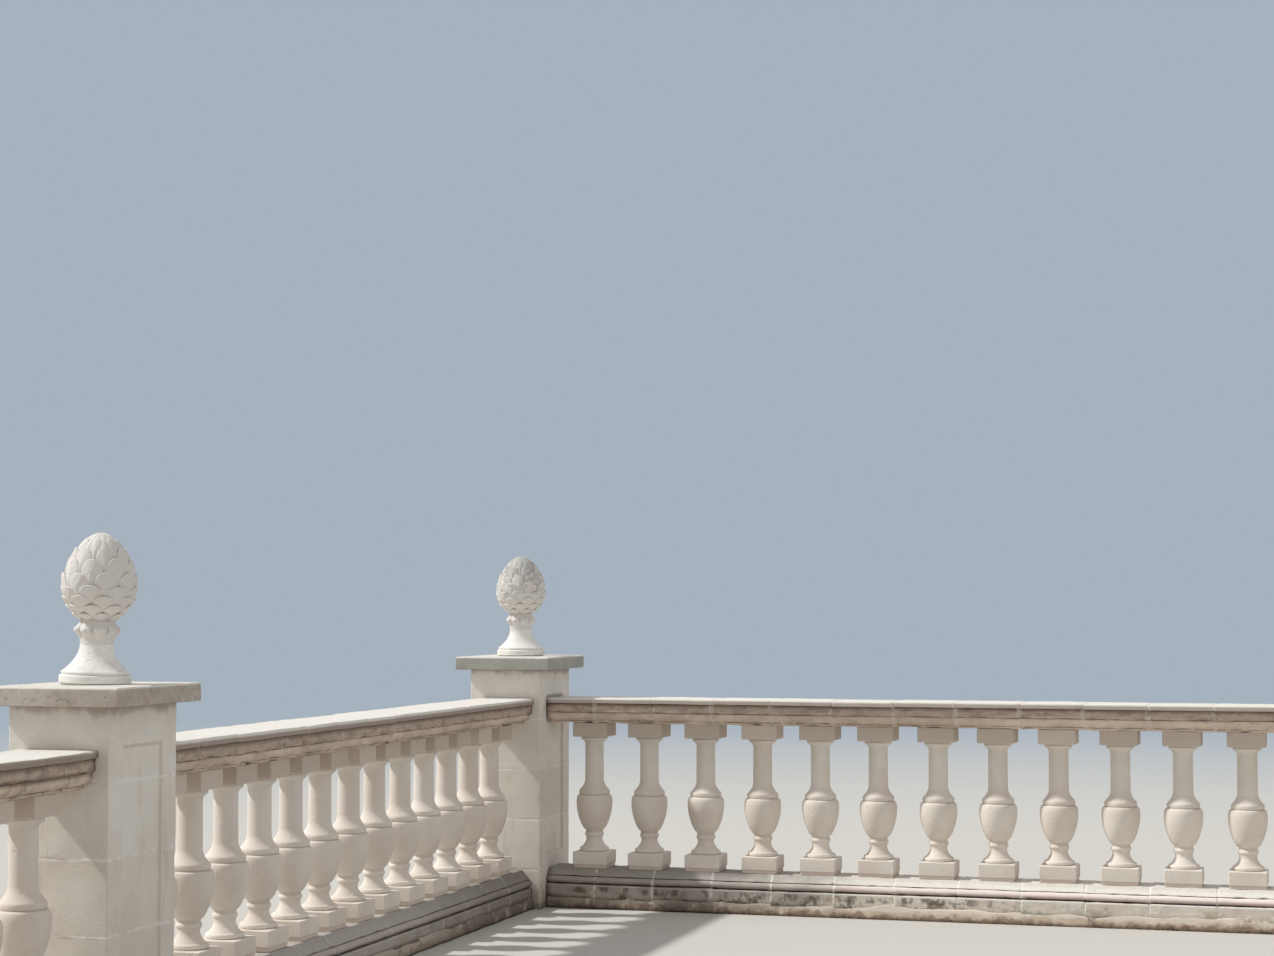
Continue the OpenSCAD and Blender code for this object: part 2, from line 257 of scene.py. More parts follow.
def mottle(tree, where, size, stretch=(1, 1, 1), value=None, depth=0.0):
    """Cloudy mottling of a real size in metres, drawn out along an axis by stretch. With a
    value, the value made uneven by up to half of depth either way."""
    drawn = add(tree, "ShaderNodeMapping", {"Vector": where, "Scale": [1 / s for s in stretch]})
    cloud = add(tree, "ShaderNodeTexNoise", {"Vector": drawn.outputs[0], "Scale": 1 / size,
                "Detail": 4.0, "Roughness": 0.6}).outputs[0]
    if value is None:
        return cloud
    level = add(tree, "ShaderNodeMath", {0: cloud, 1: 0.5}, operation="SUBTRACT")
    return add(tree, "ShaderNodeMath", {0: level.outputs[0], 1: 2 * depth, 2: value},
               operation="MULTIPLY_ADD").outputs[0]


def stain(tree, below, tone, cover, *limits):
    """One tone laid over another. Cover is its share where it is full; each limit is a value
    with the two levels between which the stain comes in, which may fall as well as rise."""
    share = cover
    for value, none, full in limits:
        eased = add(tree, "ShaderNodeMapRange", {"Value": value, "From Min": none, "From Max": full},
                    interpolation_type="SMOOTHSTEP")
        share = add(tree, "ShaderNodeMath", {0: share, 1: eased.outputs[0]},
                    operation="MULTIPLY").outputs[0]
    under = linear(below) if isinstance(below, str) else below
    return add(tree, "ShaderNodeMix", {0: share, 6: under, 7: linear(tone)}, data_type="RGBA").outputs[2]


def grit(tree, where, grain, depth, pits=None):
    """The relief of a cast face: sand grain of a given size and, where pits is a size, the
    small round holes that air bubbles leave. Sizes and depth are in metres."""
    level = add(tree, "ShaderNodeTexNoise", {"Vector": where, "Scale": 1 / grain, "Detail": 3.0}).outputs[0]
    if pits:
        cells = add(tree, "ShaderNodeTexVoronoi", {"Vector": where, "Scale": 1 / pits})
        hole = add(tree, "ShaderNodeMapRange", {"Value": cells.outputs["Distance"], "From Min": 0.10,
                   "From Max": 0.24, "To Min": -1.6, "To Max": 0.0})
        level = add(tree, "ShaderNodeMath", {0: level, 1: hole.outputs[0]}, operation="ADD").outputs[0]
    return add(tree, "ShaderNodeBump", {"Height": level, "Distance": depth, "Strength": 1.0}).outputs[0]


# Cement mortar, trowelled: beige with coarse sand, lightest along its top edge, brown toward the
# floor with patches of algae, stained dark in the damp corner and deepened there by painted
# shadow, and darkened by painted shade on the two shady bays.
mortar, tree, shader, where, tall = masonry("trowelled cement mortar", 0.95)
from_corner = add(tree, "ShaderNodeVectorMath", {0: where}, operation="LENGTH").outputs["Value"]
x_at = add(tree, "ShaderNodeSeparateXYZ", {0: where}).outputs[0]
fine, broad = mottle(tree, where, 0.025), mottle(tree, where, 0.10)
foot = mottle(tree, where, 0.06, value=tall, depth=0.05)
tone = stain(tree, "#DCCEBE", "#CDBCAA", 1.0, (broad, 0.40, 0.62))
tone = stain(tree, tone, "#ECE1D5", 0.75, (mottle(tree, where, 0.07, value=tall, depth=0.03), 0.032, 0.048))
tone = stain(tree, tone, "#98816F", 0.85, (foot, 0.036, 0.012))
tone = stain(tree, tone, "#6F5E4E", 0.75, (foot, 0.022, 0.0), (fine, 0.42, 0.60))
tone = stain(tree, tone, "#54493C", 0.7, (mottle(tree, where, 0.16), 0.57, 0.66), (fine, 0.42, 0.60))
# Painted shade: the middle and the left bay are darker.
tone = stain(tree, tone, "#9A8E83", 0.6, (x_at, *SHADY_X))
# A damp stain near the corner, deepened by painted shadow.
tone = stain(tree, tone, "#5C5249", 0.7, (from_corner, 1.9, 0.9), (broad, 0.30, 0.52))
tree.links.new(tone, shader.inputs["Base Color"])
tree.links.new(grit(tree, where, 0.004, 0.0022), shader.inputs["Normal"])

STATION = 0.014
for seed, bay in enumerate(BAYS):
    foot_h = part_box(bay + "_footing")[1][2]
    length = bay_line(bay)[2]
    half = np.array([(0.1502, 0), (0.1500, 0.30), (0.1491, 0.55), (0.1480, 0.78), (0.1471, 0.95),
                     (0.1462, 1.06), (0.1440, 1.14), (0.1300, 1.16)])
    ring = both_sides(half * (1, foot_h))
    along = np.linspace(0, length, int(length / STATION))
    points = np.empty((len(along), len(ring), 3))
    points[..., 0] = along[:, None]
    points[..., 1:] = ring
    side = np.sign(ring[:, 0]) * np.clip(1.2 - points[..., 2] / foot_h, 0.12, 1)
    swing = 0.0016 if bay == "middle_bay" else 0.0040
    wander = 0.004 + swing * ripple(points * (1, 0.2, 0), 0.20, 10 + seed)
    lumps = 0.0013 * ripple(points, 0.035, 20 + seed)
    lumps += 0.0014 * ripple(points * (1, 1, 0.3), 0.14, 30 + seed)
    points[..., 1] += side * lumps
    points[..., 2] += wander * (points[..., 2] / foot_h) ** 2
    put(bay + "_mortar_footing", [skin(on_bay(bay, points))], mortar, bay + "_footing")


# Plinths. Moulded stones about 30 cm long, laid end to end with light mortar between: an upright
# face, an undercut roll, a groove, and a weathered slope up to the flat top. The top is barely
# wider than the baluster blocks, which stand on it on thick pads of mortar.
STONE = 0.308
FIRST_STONE = {"right_bay": 0.257, "middle_bay": 0.330, "left_bay": 0.330}
SCRAP = 0.116
ARRIS_REACH = 0.009
RING_STEP = 0.036
BESIDE_JOINT = np.array([-12, -7, -4.5, -3, 0, 3, 4.5, 7, 12]) / 1000
FACE_TOP = 0.1195
UNDERCUT = 0.1240
ROLL_MIDDLE = 0.1418
SLOPE_FOOT = 0.1640
PAD = 0.0175


def arc(middle, across, up, first, last, count):
    """Points of an elliptic arc about middle, from angle first to angle last in degrees."""
    turn = np.radians(np.linspace(first, last, count))
    return np.stack([middle[0] + across * np.cos(turn), middle[1] + up * np.sin(turn)], -1)


def hollowness(ring, reach, closed=True):
    """How far each point of an outline lies inside the mean of its neighbours within reach,
    as a share of reach: above 0 in grooves, below 0 on arrises."""
    step = np.linalg.norm(np.diff(ring, axis=0, append=ring[:1]), axis=1)
    passed = np.concatenate([[0], np.cumsum(step)])
    around = passed[-1] if closed else 1e9
    apart = np.abs(passed[:-1, None] - passed[None, :-1])
    apart = np.minimum(apart, around - apart)
    share = np.exp(-((apart / reach) ** 2)) * ((step + np.roll(step, 1)) / 2)
    mean = share @ ring / share.sum(axis=1, keepdims=True)
    return ((mean - ring) * outward(ring)).sum(axis=1) / reach


def laid_stones(bay, ring, down, seed, wear=1.0):
    """One skin for a whole run of moulded stones: the outline carried along the bay, shifted and
    turned a little from stone to stone, let in at each joint, with uneven faces and chipped
    arrises. Down is how much lower each point sits in the middle bay, where the stones are from
    another mould. Wear is how strongly the faces have worn. The left bay closes against its pier
    with a scrap of stone."""
    level = ring[:, 1]
    if bay == "middle_bay":
        ring = ring - down[:, None] * (0, 1)
    length = bay_line(bay)[2]
    joints = np.arange(FIRST_STONE[bay], length - STONE / 3, STONE)
    dice = np.random.default_rng(seed)
    joints = joints + dice.uniform(-0.005, 0.005, len(joints))
    if bay == "left_bay":
        joints = np.concatenate([[SCRAP], joints])
    even = np.linspace(0, length, int(length / RING_STEP))
    even = even[np.abs(even[:, None] - joints).min(axis=1) > 0.014]
    near = (joints[:, None] + BESIDE_JOINT).ravel()
    along = np.unique(np.concatenate([even, near]))
    number = np.searchsorted(joints, along)
    ends = np.concatenate([[0], joints, [length]])
    within = (along - ends[number]) / (ends[number + 1] - ends[number]) - 0.5
    shift = dice.normal(0, 1, (len(joints) + 1, 2)) * (0.0011, 0.0007)
    slant = dice.normal(0, 1, (len(joints) + 1, 2)) * (0.0022, 0.0012)
    shade = dice.uniform(-1, 1, len(joints) + 1)
    gap = np.abs(along[:, None] - joints).min(axis=1)[:, None]
    points = np.empty((len(along), len(ring), 3))
    points[..., 0] = along[:, None]
    points[..., 1:] = ring + shift[number][:, None] + slant[number][:, None] * within[:, None, None]
    groove = hollowness(ring, ARRIS_REACH)
    spot = points + (0, 0, seed)
    lost = np.clip(ripple(spot, 0.045, seed + 1) - 1.3 + 0.2 * wear, 0, 1.3)
    chips = 0.0045 * wear * lost * np.clip(-6 * groove, 0, 1)
    uneven = wear * (0.0006 * ripple(spot, 0.09, seed + 2) + 0.0003 * ripple(spot, 0.025, seed + 3))
    let_in = np.exp(-((gap / 0.0045) ** 4)) * (0.0016 + 0.0008 * ripple(spot, 0.05, seed + 4))
    points[..., 1:] += (uneven - chips - let_in)[..., None] * outward(ring)
    return skin(on_bay(bay, points), groove=groove, gap=gap, shade=shade[number][:, None], level=level)


# Weathered cast stone: pale on the slope, pinkish on the roll, beige grey on the face, with dirt
# and painted shadow in the undercuts, algae and thin lines of mortar. Painted highlights lighten
# the face's top arris and the top of the roll; painted shade darkens the roll's underside, the
# upper slope and shelf under the balusters, the damp corner and the shady bays. Level is the
# height in the mould, which lies lower in the middle bay. The right bay is the open one, and the
# others are greyer with painted shade, and plainer.
plinth_stone, tree, shader, where, tall = masonry("weathered cast stone, plinth", 0.9)
from_corner = add(tree, "ShaderNodeVectorMath", {0: where}, operation="LENGTH").outputs["Value"]
x_at = add(tree, "ShaderNodeSeparateXYZ", {0: where}).outputs[0]
open_bay = add(tree, "ShaderNodeMath", {0: x_at, 1: 0.3}, operation="GREATER_THAN").outputs[0]
groove, shade, gap, level = (
    add(tree, "ShaderNodeAttribute", attribute_name=mark).outputs["Fac"]
    for mark in ("groove", "shade", "gap", "level")
)
fine, broad = mottle(tree, where, 0.022), mottle(tree, where, 0.11)
tone = stain(tree, "#E9E2D8", "#DCD3C8", 1.0, (broad, 0.38, 0.62))
tone = stain(tree, tone, "#D0C4B6", 0.45, (shade, -0.2, 1.0))
tone = stain(tree, tone, "#C9C3B4", 0.4, (fine, 0.52, 0.66))
splash = mottle(tree, where, 0.05, value=tall, depth=0.03)
tone = stain(tree, tone, "#F6EEE2", 0.9, (splash, 0.086, 0.068))
# Painted highlight: the face's top arris and the ledge above it are lightened.
tone = stain(tree, tone, "#F4F0E8", 0.9, (level, FACE_TOP - 0.009, FACE_TOP - 0.004))
# Painted shade on the roll's underside: darker pink below its middle.
tone = stain(tree, tone, "#AB938B", 0.95, (level, UNDERCUT - 0.0028, UNDERCUT))
# Painted highlight on the pinkish roll: lighter from its middle up, as if lit from above.
tone = stain(tree, tone, "#F3E7E0", 1.0, (level, ROLL_MIDDLE - 0.0138, ROLL_MIDDLE + 0.0042))
on_slope = (level, SLOPE_FOOT - 0.004, SLOPE_FOOT - 0.001)
up_slope = mottle(tree, where, 0.05, value=level, depth=0.012)
tone = stain(tree, tone, "#E9E5DE", 1.0, on_slope)
# Painted shadow of the balusters: the upper slope and the shelf are greyed.
tone = stain(tree, tone, "#D2CDC5", 0.6, (up_slope, SLOPE_FOOT + 0.010, SLOPE_FOOT + 0.028))
tone = stain(tree, tone, "#D6D0C7", 0.4, on_slope, (broad, 0.50, 0.66))
tone = stain(tree, tone, "#BDB5AA", 0.3, on_slope, (mottle(tree, where, 0.009), 0.56, 0.70))
# A damp stain near the corner pier, deepened by painted shadow.
damp_and_shadow = mottle(tree, where, 0.3, value=from_corner, depth=0.8)
tone = stain(tree, tone, "#756D67", 0.7, (damp_and_shadow, 2.1, 0.9))
# Painted shade: the middle and the left bay are greyed.
tone = stain(tree, tone, "#89817C", 0.62, (x_at, *SHADY_X), (mottle(tree, where, 0.15), 0.20, 0.40))
tone = stain(tree, tone, "#A3886C", 0.45, (mottle(tree, where, 0.13), 0.54, 0.64), (tall, 0.115, 0.09))
low_algae = mottle(tree, where, 0.085, (1.3, 1.3, 1), value=tall, depth=0.16)
tone = stain(tree, tone, "#4A4037", 0.78, (low_algae, 0.092, 0.052), (tall, 0.112, 0.102),
             (mottle(tree, where, 0.04), 0.38, 0.58), (from_corner, 3.4, 1.8), (open_bay, -0.4, 1.0))
high_algae = mottle(tree, where, 0.075, (1, 1, 1.5))
tone = stain(tree, tone, "#4C4239", 0.72, (high_algae, 0.49, 0.60), (level, 0.070, 0.086),
             (level, 0.114, 0.108), (from_corner, 3.0, 2.2), (open_bay, 0.0, 1.0))
# Dirt and painted shadow: a dark line in the undercut under the roll.
tone = stain(tree, tone, "#453833", 0.85, (level, UNDERCUT - 0.004, UNDERCUT - 0.0025),
             (level, UNDERCUT + 0.006, UNDERCUT + 0.0015))
# Dirt and painted shade in the hollows, weaker on the shady bays.
tone = stain(tree, tone, "#4C423C", 0.85, (groove, 0.045, 0.23), (open_bay, -1.6, 1.0))
wide_smear = mottle(tree, where, 0.03, value=gap, depth=0.03)
tone = stain(tree, tone, "#E6DED5", 0.3, (wide_smear, 0.030, 0.004),
             (mottle(tree, where, 0.16), 0.50, 0.58), (open_bay, 0.0, 1.0))
smear = mottle(tree, where, 0.02, value=gap, depth=0.008)
tone = stain(tree, tone, "#EDE9E1", 0.65, (smear, 0.0070, 0.0035),
             (mottle(tree, where, 0.05), 0.36, 0.52), (open_bay, -0.8, 1.0))
tree.links.new(tone, shader.inputs["Base Color"])
tree.links.new(grit(tree, where, 0.003, 0.0011, 0.021), shader.inputs["Normal"])

foot_z, pad_top = np.array(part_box("right_bay_plinth"))[:, 2]
shelf_z = pad_top - PAD
shelf_w, face_w, roll_w = 0.092, 0.146, 0.129
half = np.concatenate([
    [(face_w, foot_z), (face_w, 0.080), (face_w, FACE_TOP - 0.0045)],
    arc((face_w - 0.003, FACE_TOP - 0.003), 0.003, 0.003, 0, 90, 4),
    [(roll_w - 0.001, UNDERCUT - 0.003), (roll_w - 0.003, UNDERCUT)],
    arc((roll_w, ROLL_MIDDLE), 0.015, 0.0168, -84, 84, 17),
    [(roll_w - 0.007, SLOPE_FOOT - 0.0048), (roll_w - 0.007, SLOPE_FOOT - 0.0028)],
    [(roll_w - 0.001, SLOPE_FOOT - 0.0018), (roll_w, SLOPE_FOOT)],
    np.linspace((roll_w - 0.0015, SLOPE_FOOT + 0.0015), (shelf_w + 0.004, shelf_z - 0.003), 7),
    [(shelf_w + 0.0015, shelf_z - 0.0008), (shelf_w - 0.002, shelf_z), (shelf_w - 0.04, shelf_z)],
])
ring = both_sides(half)
down = 0.013 * np.clip((ring[:, 1] - 0.08) / 0.03, 0, 1) * np.clip((shelf_z - ring[:, 1]) / 0.03, 0, 1)
for seed, bay in enumerate(BAYS):
    run = laid_stones(bay, ring, down, 100 + 10 * seed)
    put(bay + "_plinth_stones", [run], plinth_stone, bay + "_plinth")


# Balusters. Cast in one piece each: square block, round base, bell, bead, vase, a thin lip, a
# tapering shaft and the upper square block. They are smooth and pale cream, and each stands on
# a pad of mortar that is a little narrower than its block.
AROUND = 40
BALUSTERS = 13
BLOCK = 0.180
VASE_D = 0.186
FOOT_BLOCK, HEAD_BLOCK = 0.066, 0.073
PAD_INSET = 0.004


def lathe(profile, middle, count=AROUND, first_turn=0.0):
    """Rings of points round an upright axis at middle, one for each radius and height of a
    profile that runs upward."""
    turn = first_turn + np.linspace(0, 2 * np.pi, count, endpoint=False)
    rings = np.empty((len(profile), count, 3))
    rings[..., 0] = middle[0] + profile[:, :1] * np.cos(turn)
    rings[..., 1] = middle[1] + profile[:, :1] * np.sin(turn)
    rings[..., 2] = middle[2] + profile[:, 1:]
    return rings


def squared(half, radius, count=4):
    """A square outline with rounded corners, counter-clockwise."""
    corner = arc((half - radius, half - radius), radius, radius, 0, 90, count)
    edge = np.linspace(half - radius, radius - half, 5)[1:-1]
    side = np.concatenate([corner, np.stack([edge, np.full(3, half)], -1)])
    quarter = np.array([[0, 1], [-1, 0]])
    return np.concatenate([side @ np.linalg.matrix_power(quarter, k) for k in range(4)])


def block_rings(half, low, high, radius=0.0045):
    """Rings of a square block with rounded arrises, from its underside to its top."""
    inset = radius * np.array([1, 0.3, 0, 0, 0, 0.3, 1])
    rise = np.array([low, low + 0.3 * radius, low + radius, (low + high) / 2, high - radius,
                     high - 0.3 * radius, high])
    flat = squared(half, radius)
    rings = np.empty((7, len(flat), 3))
    rings[..., :2] = flat * (1 - inset / half)[:, None, None]
    rings[..., 2] = rise[:, None]
    # The second array marks the rounded arrises for wear and a painted highlight.
    return rings, np.array([-0.1, -0.2, -0.1, 0, -0.1, -0.2, -0.1])[:, None]


def baluster_profile(low, high):
    """Radius and height of the turned part between the blocks: straight stretches, arcs, hollow
    sweeps that close as a power, and a vase that swells as a power of a sine."""
    waist, vase, shaft = 0.0415, 0.0926, 0.0470
    t = np.linspace(0, 1, 13)
    swell = np.linspace(0, 1, 22)
    bell = np.stack([waist + 0.0215 * (1 - t) ** 1.6, low + 0.0225 + 0.038 * t], -1)
    body = np.stack([waist + 0.004 + (vase - waist - 0.004) * np.sin(np.pi / 2 * swell) ** 0.66,
                     low + 0.108 + 0.144 * swell], -1)
    flare = np.stack([shaft + 0.0012 + 0.0262 * (1 - t) ** 2.0, low + 0.3140 + 0.052 * t], -1)
    taper = np.stack([shaft + 0.0012 - 0.0012 * swell[1::3], low + 0.3660 + 0.178 * swell[1::3]], -1)
    neck = np.stack([shaft + 0.0185 * t[::2] ** 2.4, low + 0.5445 + 0.0255 * t[::2]], -1)
    return np.concatenate([
        [(0.070, low)],
        arc((0.0685, low + 0.0105), 0.0065, 0.0100, -78, 78, 9),
        [(0.0645, low + 0.0213)],
        bell,
        [(waist, low + 0.0690)],
        arc((waist + 0.0010, low + 0.0862), 0.0062, 0.0100, -78, 78, 9),
        [(waist + 0.0022, low + 0.0985), (waist + 0.0025, low + 0.1060)],
        body,
        arc((vase - 0.010, low + 0.252), 0.010, 0.034, 8, 76, 9),
        [(vase - 0.0125, low + 0.2867), (vase - 0.0155, low + 0.2880), (vase - 0.0155, low + 0.2895)],
        arc((vase - 0.0170, low + 0.3010), 0.0035, 0.0108, -75, 75, 8),
        [(vase - 0.0175, low + 0.3130)],
        flare,
        taper,
        neck,
        [(shaft + 0.0198, low + 0.5710), (shaft + 0.0202, low + 0.5780), (shaft + 0.0198, high)],
    ])


# Fine cast stone of the balusters: cream white, each one a shade of its own, a trace greyer
# toward the top where it is sheltered, with dust and painted shade in the quirks, wear and a
# painted highlight on the arrises, and painted shade over the upper block under the handrail.
baluster_stone, tree, shader, where, tall = masonry("fine cast stone, balusters", 0.82)
groove = add(tree, "ShaderNodeAttribute", attribute_name="groove").outputs["Fac"]
shade = add(tree, "ShaderNodeAttribute", attribute_name="shade").outputs["Fac"]
tone = stain(tree, "#E6DED5", "#DED3C8", 1.0, (mottle(tree, where, 0.22), 0.40, 0.64))
tone = stain(tree, tone, "#DBD8D2", 0.5, (tall, 0.45, 0.90), (mottle(tree, where, 0.3), 0.3, 0.6))
head_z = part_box("right_bay_balusters")[1][2] - HEAD_BLOCK
# Painted shade: the upper block is darkened as if in the handrail's shadow.
tone = stain(tree, tone, "#B9AA9B", 0.75, (tall, head_z - 0.0053, head_z + 0.0027))
tone = stain(tree, tone, "#D9CDC0", 0.3, (mottle(tree, where, 0.010), 0.54, 0.68))
tone = stain(tree, tone, "#DDD1C5", 0.45, (shade, 0.0, 1.0))
# Dust and painted shade in the quirks.
tone = stain(tree, tone, "#9C8F82", 0.6, (groove, 0.05, 0.30))
# Wear and a painted highlight on the arrises.
tone = stain(tree, tone, "#EDE8E0", 0.4, (groove, -0.06, -0.25))
tone = stain(tree, tone, "#D6C6BA", 0.85, (tall, pad_top + 0.0005, pad_top - 0.0005))
tree.links.new(tone, shader.inputs["Base Color"])
tree.links.new(grit(tree, where, 0.0025, 0.0006, 0.034), shader.inputs["Normal"])

for seed, bay in enumerate(BAYS):
    start, way, _ = bay_line(bay)
    low, high = np.array(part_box(bay + "_balusters"))
    ends = sorted([float(low @ way), float(high @ way)])
    reach = max(BLOCK, VASE_D) / 2
    places = np.linspace(ends[0] + reach, ends[1] - reach, BALUSTERS) - float(start @ way)
    turned_low, turned_high = low[2] + FOOT_BLOCK, high[2] - HEAD_BLOCK
    profile = baluster_profile(turned_low, turned_high)
    groove = hollowness(profile, 0.008, closed=False)[:, None]
    dice = np.random.default_rng(200 + seed)
    skins = []
    for place in places:
        middle = start + place * way + (*dice.normal(0, 0.0012, 2), 0.0)
        shade = dice.uniform(-1, 1)
        rings = lathe(profile, middle, first_turn=dice.uniform(0, 1))
        skins.append(skin(rings, groove=groove, shade=shade))
        for less, *span in ((0.0, low[2], turned_low), (0.0, turned_high, high[2]),
                            (PAD_INSET, shelf_z - 0.001, low[2] + 0.002)):
            rings, wear_dirt_and_shading = block_rings(BLOCK / 2 - less, *span)
            slew = dice.normal(0, 0.006)
            turn = np.array([[np.cos(slew), np.sin(slew), 0], [-np.sin(slew), np.cos(slew), 0], [0, 0, 1]])
            skins.append(skin(rings @ turn + middle * (1, 1, 0), groove=wear_dirt_and_shading, shade=shade))
    put(bay + "_turned_balusters", skins, baluster_stone, bay + "_balusters")


# Handrails. Moulded stones like the plinth's: a flat sun-bleached top with a thin fillet, a
# set-back fascia, an ovolo and a narrow bed. The sides are tan, darkest under each edge and in
# the hollows, with dirt and painted shade there; the fillet face is darkened by painted shade on
# the shady bays, and the left bay, past y = -4.6, is streaked by rain.
OVOLO_TOP = 0.0510
FILLET_FOOT = 0.1008
rail_low, rail_high = np.array(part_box("right_bay_handrail"))[:, 2]
ovolo_z, fillet_z = rail_low + OVOLO_TOP, rail_low + FILLET_FOOT

rail_stone, tree, shader, where, _ = masonry("weathered cast stone, handrail", 0.9)
groove, shade, gap, level = (
    add(tree, "ShaderNodeAttribute", attribute_name=mark).outputs["Fac"]
    for mark in ("groove", "shade", "gap", "level")
)
normal = add(tree, "ShaderNodeNewGeometry").outputs["Normal"]
facing_up = add(tree, "ShaderNodeSeparateXYZ", {0: normal}).outputs[2]
x_at, y_at = add(tree, "ShaderNodeSeparateXYZ", {0: where}).outputs[:2]
fine, broad = mottle(tree, where, 0.020), mottle(tree, where, 0.09, (1.5, 1.5, 0.8))
tone = stain(tree, "#DECDBD", "#CCBBAB", 1.0, (broad, 0.38, 0.62))
low_down = mottle(tree, where, 0.07, value=level, depth=0.04)
tone = stain(tree, tone, "#B3A494", 0.3, (low_down, rail_low + 0.030, rail_low + 0.010),
             (broad, 0.38, 0.58))
on_fascia = (level, ovolo_z + 0.001, ovolo_z + 0.004)
tone = stain(tree, tone, "#B8A698", 0.9, on_fascia)
tone = stain(tree, tone, "#988479", 0.65, on_fascia,
             (mottle(tree, where, 0.035, (2.2, 2.2, 0.8)), 0.46, 0.62))
tone = stain(tree, tone, "#C4A89C", 0.5, (mottle(tree, where, 0.06), 0.54, 0.66))
on_left_bay = (y_at, -4.6, -4.9)
streak = mottle(tree, where, 0.05, (1, 1, 3))
tone = stain(tree, tone, "#6F6055", 0.4, (streak, 0.50, 0.62), on_left_bay)
tone = stain(tree, tone, "#A39383", 0.35, (shade, -0.2, 1.0))
tone = stain(tree, tone, "#DDD3C7", 0.35, (fine, 0.56, 0.68))
# Dirt and painted shadow: the fascia darkens just under the fillet.
dirt_and_shade_under_edge = mottle(tree, where, 0.05, value=level, depth=0.012)
tone = stain(tree, tone, "#77665C", 0.65, (dirt_and_shade_under_edge, fillet_z - 0.0228, fillet_z - 0.0048))
# Dirt and painted shade in the hollows.
tone = stain(tree, tone, "#574B42", 0.75, (groove, 0.05, 0.24), (mottle(tree, where, 0.09), 0.38, 0.52))
tone = stain(tree, tone, "#BEB3AA", 1.0, (level, fillet_z, fillet_z + 0.0022))
# Painted shade: the fillet face is darker on the shady bays.
tone = stain(tree, tone, "#948479", 0.6, (x_at, *SHADY_X), (level, fillet_z - 0.0048, fillet_z + 0.0002))
tone = stain(tree, tone, "#E6E2DB", 0.95, (level, fillet_z + 0.0142, fillet_z + 0.0212))
tone = stain(tree, tone, "#6A5C50", 0.6, on_left_bay, (level, ovolo_z - 0.013, ovolo_z),
             (level, ovolo_z + 0.017, ovolo_z + 0.009))
tone = stain(tree, tone, "#9F9184", 0.8, on_left_bay, (level, fillet_z - 0.0008, fillet_z + 0.0012),
             (facing_up, 0.7, 0.4))
tone = stain(tree, tone, "#C4BCB1", 0.5, (facing_up, 0.4, 0.8), (fine, 0.60, 0.72))
smear = mottle(tree, where, 0.035, value=gap, depth=0.014)
tone = stain(tree, tone, "#DDD3C8", 0.5, (smear, 0.018, 0.005),
             (mottle(tree, where, 0.06), 0.38, 0.56), (x_at, 0.10, 0.30))
tree.links.new(tone, shader.inputs["Base Color"])
tree.links.new(grit(tree, where, 0.003, 0.0012, 0.019), shader.inputs["Normal"])

rail_top = rail_high - rail_low
bed_w = BLOCK / 2 + 0.008
half_w = 0.150
fascia_w = half_w - 0.009
half = np.concatenate([
    [(bed_w - 0.03, 0), (bed_w - 0.003, 0), (bed_w, 0.002), (bed_w, 0.0125)],
    arc((bed_w + 0.001, OVOLO_TOP), 0.035, 0.0375, -86, 0, 13),
    [(fascia_w - 0.009, 0.0525), (fascia_w - 0.010, 0.0555), (fascia_w - 0.003, 0.0562)],
    arc((fascia_w - 0.002, 0.0582), 0.002, 0.002, -80, 0, 4),
    [(fascia_w, 0.075), (fascia_w, 0.090), (fascia_w, 0.0975), (fascia_w - 0.002, 0.0993)],
    [(fascia_w - 0.001, FILLET_FOOT), (half_w - 0.003, FILLET_FOOT + 0.0008)],
    arc((half_w - 0.002, 0.1038), 0.002, 0.002, -70, 0, 4),
    [(half_w, 0.1130)],
    arc((half_w - 0.005, rail_top - 0.005), 0.005, 0.005, 0, 90, 5),
    [(half_w - 0.015, rail_top), (half_w - 0.06, rail_top + 0.0005)],
])
ring = both_sides(half)
down = 0.006 * np.clip(ring[:, 1] / 0.04, 0, 1) * np.clip((rail_top - ring[:, 1]) / 0.008, 0, 1)
wear = np.where(ring[:, 1] > 0.100, 0.6, 2.4)
for seed, bay in enumerate(BAYS):
    run = laid_stones(bay, ring + (0, rail_low), down, 300 + 10 * seed, wear)
    put(bay + "_handrail_stones", [run], rail_stone, bay + "_handrail")


# Pier shafts. Blocks of cast stone laid in courses with light mortar beds that stand a little
# proud here and there, and a long shallow panel sunk in each of two opposite faces.
PANEL_W, PANEL_LOW, PANEL_HIGH = 0.290, 0.262, 1.085
PANEL_D, PANEL_SLOPE = 0.011, 0.022
FIRST_COURSE, COURSES = 0.200, 4
LEVEL_STEP = 0.028


def boxed(half_x, half_y, radius, step, extra=()):
    """A rectangular outline with rounded corners, counter-clockwise, with points about step
    apart and at each extra distance from the middle of the sides that face along X."""
    inner = np.array([half_x, half_y]) - radius
    corner = arc(inner, radius, radius, 0, 90, 5)
    side_y = np.linspace(-inner[1], inner[1], int(2 * inner[1] / step))[1:-1]
    if len(extra):
        side_y = side_y[np.abs(np.abs(side_y)[:, None] - extra).min(axis=1) > step / 3]
        side_y = np.sort(np.concatenate([side_y, extra, -np.asarray(extra)]))
    side_x = np.linspace(inner[0], -inner[0], int(2 * inner[0] / step))[1:-1]
    ring = np.concatenate([
        np.stack([np.full(len(side_y), half_x), side_y], -1), corner,
        np.stack([side_x, np.full(len(side_x), half_y)], -1), corner[::-1] * (-1, 1),
    ])
    return np.concatenate([ring, -ring])


